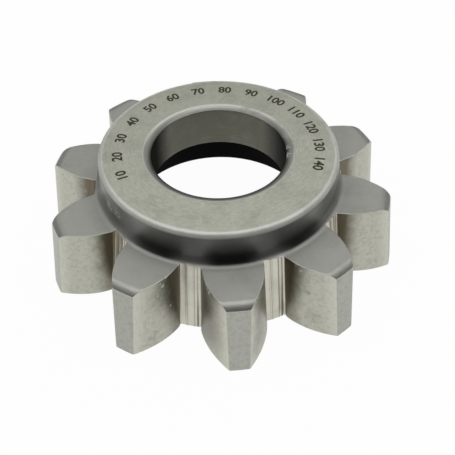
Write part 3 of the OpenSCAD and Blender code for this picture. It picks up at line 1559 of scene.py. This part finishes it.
# The five broad patches, on the flanks of the front teeth, are painted shade; the five small ones are dark
# spots
FLANK_SHADES_AND_SMUDGES = (
    SmudgeAndShade((-0.0195, -0.0425, 0.0190), 0.0105, 0.60, 150.0),
    SmudgeAndShade((-0.0100, -0.0462, 0.0110), 0.0150, 0.72, 5.0),
    SmudgeAndShade((-0.0072, -0.0490, 0.0215), 0.0110, 0.50, 90.0),
    SmudgeAndShade((0.0068, -0.0500, 0.0200), 0.0110, 0.45, 90.0),
    SmudgeAndShade((0.0058, -0.0545, 0.0100), 0.0110, 0.40, 90.0),
    SmudgeAndShade((-0.0262, -0.0480, 0.0047), 0.0020, 0.28, 1500.0),
    SmudgeAndShade((-0.0249, -0.0473, 0.0061), 0.0016, 0.26, 1500.0),
    SmudgeAndShade((0.0245, -0.0468, 0.0070), 0.0042, 0.30, 1500.0),
    SmudgeAndShade((0.0191, -0.0436, 0.0038), 0.0030, 0.30, 1500.0),
    SmudgeAndShade((0.0227, -0.0455, 0.0169), 0.0014, 0.55, 1500.0),
)
LIP_NICKS = (
    Nick((0.0219, 0.0046, 0.0379), 0.0017, 0.59),
    Nick((0.0224, -0.0006, 0.0379), 0.0017, 0.52),
    Nick((0.0221, -0.0044, 0.0379), 0.0020, 0.52),
)
HUB_NICKS = (
    Nick((-0.0364, -0.0153, 0.0318), 0.0030, 0.51),
    Nick((-0.0339, -0.0202, 0.0332), 0.0028, 0.55),
)
LIP_SMUDGES = (
    SmudgeAndShade((0.0120, 0.0205, 0.0382), 0.0060, 0.45, 420.0),
    SmudgeAndShade((0.0215, 0.0100, 0.0382), 0.0060, 0.35, 420.0),
    SmudgeAndShade((0.0226, 0.0000, 0.0380), 0.0050, 0.50, 900.0),
)

FINISHES: dict[Region, SteelFinish] = {
    Region.TOP: SteelFinish("turned_top", (0.585, 0.597, 0.506), 0.44, Lay.RINGS, grain=0.35,
                            line_colour=0.25, line_scale=1700.0),
    Region.LIP: LipFinish("rounded_lip", (0.385, 0.388, 0.35), 0.42, Lay.RINGS, grain=0.2,
                          smudges_and_shades=LIP_SMUDGES, nicks=LIP_NICKS),
    # The bore's dark colour and its darker sides along X are painted shade: the dark reflection of the inside
    # of the cup
    Region.BORE: FadingFinish("ground_bore", (0.115, 0.115, 0.092), 0.24, Lay.HOOPS, line_colour=0.3,
                              dark=(0.038, 0.038, 0.032), dark_metal=0.0, sheen=0.0,
                              axis=Axis.X, centre=0.0010, light_at=0.0150, dark_at=0.0218),
    # The recess is nearly black: painted shade, for the shadow inside the cup
    Region.RECESS: SteelFinish("dark_recess", (0.006, 0.006, 0.006), 0.7, Lay.HOOPS,
                               patch=(0.004, 0.004, 0.004)),
    # The hub's edge darkens towards its lower side by painted shade, where the highlight falls off
    Region.EDGE: FadingFinish("hub_edge", (0.66, 0.665, 0.615), 0.54, Lay.HOOPS, grain=0.2, metal=0.42,
                              dark=(0.24, 0.24, 0.225), light_at=0.0381, dark_at=0.0371),
    Region.WALL: HubWallFinish("hub_wall", (0.40, 0.40, 0.38), 0.44, Lay.HOOPS, patch=(0.25, 0.25, 0.24),
                               patch_amount=0.45, patch_scale=330.0, grain=0.3, nicks=HUB_NICKS),
    Region.FILLET: HubFilletFinish("hub_fillet", (0.43, 0.432, 0.403), 0.56, metal=0.7),
    Region.BACK: SteelFinish("matt_backs", (0.436, 0.439, 0.405), 0.60, metal=0.75, grain=0.14),
    Region.HEEL: SteelFinish("rounded_heels", (0.39, 0.392, 0.36), 0.50, Lay.RINGS, metal=0.75),
    Region.TIP: SteelFinish("ground_tips", (0.425, 0.43, 0.385), 0.36, Lay.LENGTHWISE, grain=0.3,
                            patch_amount=0.4, patch_scale=700.0),
    Region.FLANK: FlankFinish("ground_flanks", (0.51, 0.512, 0.44), 0.38, Lay.LENGTHWISE, nicks=FLANK_NICKS,
                              smudges_and_shades=FLANK_SHADES_AND_SMUDGES, patch=(0.30, 0.27, 0.21), patch_amount=0.45,
                              patch_scale=700.0, grain=0.35),
    Region.FLOOR: FloorFinish("ground_floors", (0.66, 0.64, 0.555), 0.36, Lay.LENGTHWISE, line_colour=0.1),
    Region.CUTTING_FACE: SteelFinish("cutting_face", (0.45, 0.45, 0.42), 0.25, Lay.RINGS),
    Region.RIM: SteelFinish("broken_edges", (0.60, 0.60, 0.55), 0.36, nicks=FLANK_NICKS),
}


@dataclass(frozen=True)
class NumberRing:
    """Plain scale of numbers marked round the top of the hub, read with their feet towards the bore."""

    top: float
    count: int = 14
    interval: int = 10
    # Angle of the first number, and from each to the next
    first: float = math.radians(196)
    pitch: float = math.radians(16.5)
    # Radius of the numbers' feet, and the height of the figures
    foot_r: float = 0.0315
    height: float = 0.0035
    depth: float = 0.00003
    proud: float = 0.00001
    # How much bolder than the plain font, at unit size, and in how many steps its curves are
    bolder: float = 0.03
    curve_steps: int = 6
    weld: float = 0.000001

    def glyphs(self, text: str) -> bpy.types.Mesh:
        """Mesh of a number at unit size, a closed solid with its foot line on y = 0.

        Args:
            text: The number's figures.

        Returns:
            The mesh, one unit thick.
        """
        curve = bpy.data.curves.new("number", "FONT")
        curve.body = text
        curve.align_x = "CENTER"
        curve.extrude = 0.5
        curve.offset = self.bolder
        curve.resolution_u = self.curve_steps
        carrier = add_object(curve, "number")
        bpy.context.view_layer.update()
        mesh = bpy.data.meshes.new_from_object(carrier.evaluated_get(bpy.context.evaluated_depsgraph_get()))
        bpy.data.objects.remove(carrier)
        bpy.data.curves.remove(curve)
        return mesh

    def bent(self, flat: Points, scale: float, angle: float) -> Points:
        """Lays flat text round the ring.

        Formula: the radius is the foot radius plus y, and the angle falls by x over the middle radius.

        Args:
            flat: Points of the text at unit size.
            scale: Size of the unit.
            angle: Angle of the text's middle.

        Returns:
            The points in their places.
        """
        r = self.foot_r + flat[:, 1] * scale
        turn = angle - flat[:, 0] * scale / (self.foot_r + self.height / 2)
        z = self.top + self.proud + (flat[:, 2] - 0.5) * self.depth
        return np.stack([r * np.cos(turn), r * np.sin(turn), z], -1)

    def build(self) -> bpy.types.Object:
        """Builds all the numbers as one mesh.

        Returns:
            The ring of numbers.
        """
        reference = self.glyphs("0")
        tall = float(np.ptp(read(reference.vertices, "co", 3, np.float32)[:, 1]))
        bpy.data.meshes.remove(reference)
        whole = bmesh.new()
        for number in range(self.count):
            mesh = self.glyphs(str(self.interval * (number + 1)))
            flat = read(mesh.vertices, "co", 3, np.float32)
            bent = self.bent(flat, self.height / tall, self.first - number * self.pitch)
            mesh.vertices.foreach_set("co", bent.astype(np.float32).ravel())
            whole.from_mesh(mesh)
            bpy.data.meshes.remove(mesh)
        ring = bpy.data.meshes.new("number_ring")
        close_up(whole, ring, self.weld)
        return add_object(ring, "number_ring")

    def dress(self, ring: bpy.types.Object) -> None:
        """Gives the numbers their finish."""
        ring.data.materials.append(MarkFinish().material())


def direction(azimuth: float, elevation: float) -> Vector:
    """Unit vector at an angle round the axis and an angle above the floor."""
    level = math.cos(elevation)
    return Vector((math.cos(azimuth) * level, math.sin(azimuth) * level, math.sin(elevation)))


@dataclass(frozen=True)
class Softbox:
    """Soft rectangular lamp that looks at the cutter; its angles are in degrees."""

    name: str
    azimuth: float
    elevation: float
    distance: float
    width: float
    height: float
    # A brightness of 1 shows as white
    brightness: float


@dataclass(frozen=True)
class Studio:
    """Pale floor, soft lamps, a black card and the camera."""

    # Where the camera stands round the axis, from the points of the teeth up
    azimuth: float = math.radians(-94.937)
    elevation: float = math.radians(45.16)
    distance: float = 0.31073
    # How far it looks down, aside and askew of the axis
    pitch: float = math.radians(44.77)
    yaw: float = math.radians(0.678)
    roll: float = math.radians(-0.722)
    lens: float = 68.69
    sensor: float = 36.0
    clip_start: float = 0.01
    floor_size: float = 24.0
    floor_colour: Colour = (0.85, 0.85, 0.84)
    # How white the floor is for the camera, and for what a reflection or a refraction sees
    floor_seen: float = 0.97
    floor_mirrored: float = 0.8
    # The card stands behind the camera and is hidden from it: its size, and its place along Y
    card_width: float = 1.0
    card_height: float = 0.25
    card_y: float = -0.30
    card_colour: Colour = (0.02, 0.02, 0.02)
    surround: float = 0.05
    # Height of the point that the lamps look at
    aim: float = 0.02
    boxes: tuple[Softbox, ...] = (
        Softbox("high_box", 86, 88, 0.9, 1.4, 0.60, 2.2),
        Softbox("back_box", 86, 42, 1.1, 1.8, 0.5, 0.66),
        Softbox("left_box", 180, 45, 1.1, 0.8, 0.8, 0.6),
        Softbox("right_box", 0, 45, 1.1, 0.8, 0.8, 0.7),
    )

    def camera(self) -> bpy.types.Object:
        """Adds the camera at the photograph's angle.

        Formula: its axes are those of a view along the pitch and the yaw, turned by the roll, and then
        turned round the cutter's axis with its place.

        Returns:
            The camera.
        """
        data = bpy.data.cameras.new("camera")
        data.lens = self.lens
        data.sensor_width = self.sensor
        data.clip_start = self.clip_start
        seat = add_object(data, "camera")
        forward = direction(math.pi / 2 - self.yaw, -self.pitch)
        right = Vector((math.cos(self.yaw), -math.sin(self.yaw), 0))
        up = right.cross(forward)
        across = math.cos(self.roll) * right + math.sin(self.roll) * up
        upward = math.cos(self.roll) * up - math.sin(self.roll) * right
        axes = Matrix((across, upward, -forward)).transposed()
        spin = Matrix.Rotation(self.azimuth + math.pi / 2, 3, "Z")
        place = direction(self.azimuth, self.elevation) * self.distance
        seat.matrix_world = Matrix.Translation(place) @ (spin @ axes).to_4x4()
        bpy.context.scene.camera = seat
        return seat

    def lamp(self, box: Softbox) -> bpy.types.Object:
        """Adds one softbox; its power is its brightness times its area times pi.

        Args:
            box: Its place, size and brightness.

        Returns:
            The lamp.
        """
        data = bpy.data.lights.new(box.name, "AREA")
        data.shape = "RECTANGLE"
        data.size, data.size_y = box.width, box.height
        data.energy = box.brightness * box.width * box.height * math.pi
        seat = add_object(data, box.name)
        away = direction(math.radians(box.azimuth), math.radians(box.elevation))
        seat.location = Vector((0, 0, self.aim)) + box.distance * away
        seat.rotation_euler = away.to_track_quat("Z", "Y").to_euler()
        return seat

    def sheet(self, name: str, corners: Sequence[tuple[float, float, float]],
              material: bpy.types.Material) -> bpy.types.Object:
        """Adds one flat four-cornered sheet.

        Args:
            name: Name of the object.
            corners: Its corners in order.
            material: Its material.

        Returns:
            The sheet.
        """
        mesh = bpy.data.meshes.new(name)
        mesh.from_pydata(corners, [], [(0, 1, 2, 3)])
        mesh.materials.append(material)
        return add_object(mesh, name)

    def whiteness(self, graph: Graph) -> Value:
        """How white the floor is for the camera, a reflection or a refraction; the rest is shaded."""
        camera, glossy, clear = (graph.number("ShaderNodeLightPath", f"Is {ray} Ray")
                                 for ray in ("Camera", "Glossy", "Transmission"))
        return (camera * self.floor_seen + (glossy + clear) * self.floor_mirrored).clamped()

    def floor(self) -> bpy.types.Object:
        """Adds the pale floor, which keeps a faint shadow and is white where nothing shades it.

        Returns:
            The floor.
        """
        material, graph = new_material("pale_floor")
        matt = graph.node("ShaderNodeBsdfDiffuse", None, {"Color": (*self.floor_colour, 1)})
        white = graph.node("ShaderNodeEmission", None, {"Color": (1, 1, 1, 1), "Strength": 1.0})
        graph.finish(graph.node("ShaderNodeMixShader", None,
                                {0: self.whiteness(graph), 1: matt.outputs[0], 2: white.outputs[0]}))
        half = self.floor_size / 2
        corners = [(-half, -half, 0), (half, -half, 0), (half, half, 0), (-half, half, 0)]
        plane = self.sheet("floor", corners, material)
        return plane

    def flag(self) -> bpy.types.Object:
        """Adds the black card, which gives the steel its dark front.

        Returns:
            The card.
        """
        material, graph = new_material("black_card")
        graph.finish(graph.node("ShaderNodeBsdfDiffuse", None, {"Color": (*self.card_colour, 1)}))
        half, y, top = self.card_width / 2, self.card_y, self.card_height
        corners = [(-half, y, 0), (half, y, 0), (half, y, top), (-half, y, top)]
        card = self.sheet("flag", corners, material)
        card.visible_camera = False
        return card

    def world(self) -> None:
        """Sets a dim, even surround, which the camera sees as white."""
        world = bpy.data.worlds.new("studio")
        bpy.context.scene.world = world
        world.use_nodes = True
        graph = Graph(world.node_tree)
        strength = self.surround + graph.number("ShaderNodeLightPath", "Is Camera Ray") * (1 - self.surround)
        dim = graph.node("ShaderNodeBackground", None, {"Color": (1, 1, 1, 1), "Strength": strength})
        graph.finish(dim, "ShaderNodeOutputWorld")

    def build(self) -> None:
        """Sets up the whole studio."""
        self.camera()
        self.floor()
        self.flag()
        self.world()
        for box in self.boxes:
            self.lamp(box)
        bpy.context.scene.view_settings.view_transform = "Standard"


def main() -> None:
    Studio().build()
    cutter = CutterBody.from_frame(frame)
    body = cutter.build()
    cutter.dress(body)
    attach(body, "root")
    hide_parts("cutter")
    log.info("body: %s", [round(v, 4) for v in body.dimensions])

    numbers = NumberRing(top=cutter.height)
    ring = numbers.build()
    numbers.dress(ring)
    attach(ring, "root")
    log.info("number ring: %s", [round(v, 4) for v in ring.dimensions])


if __name__ == "__main__":
    main()
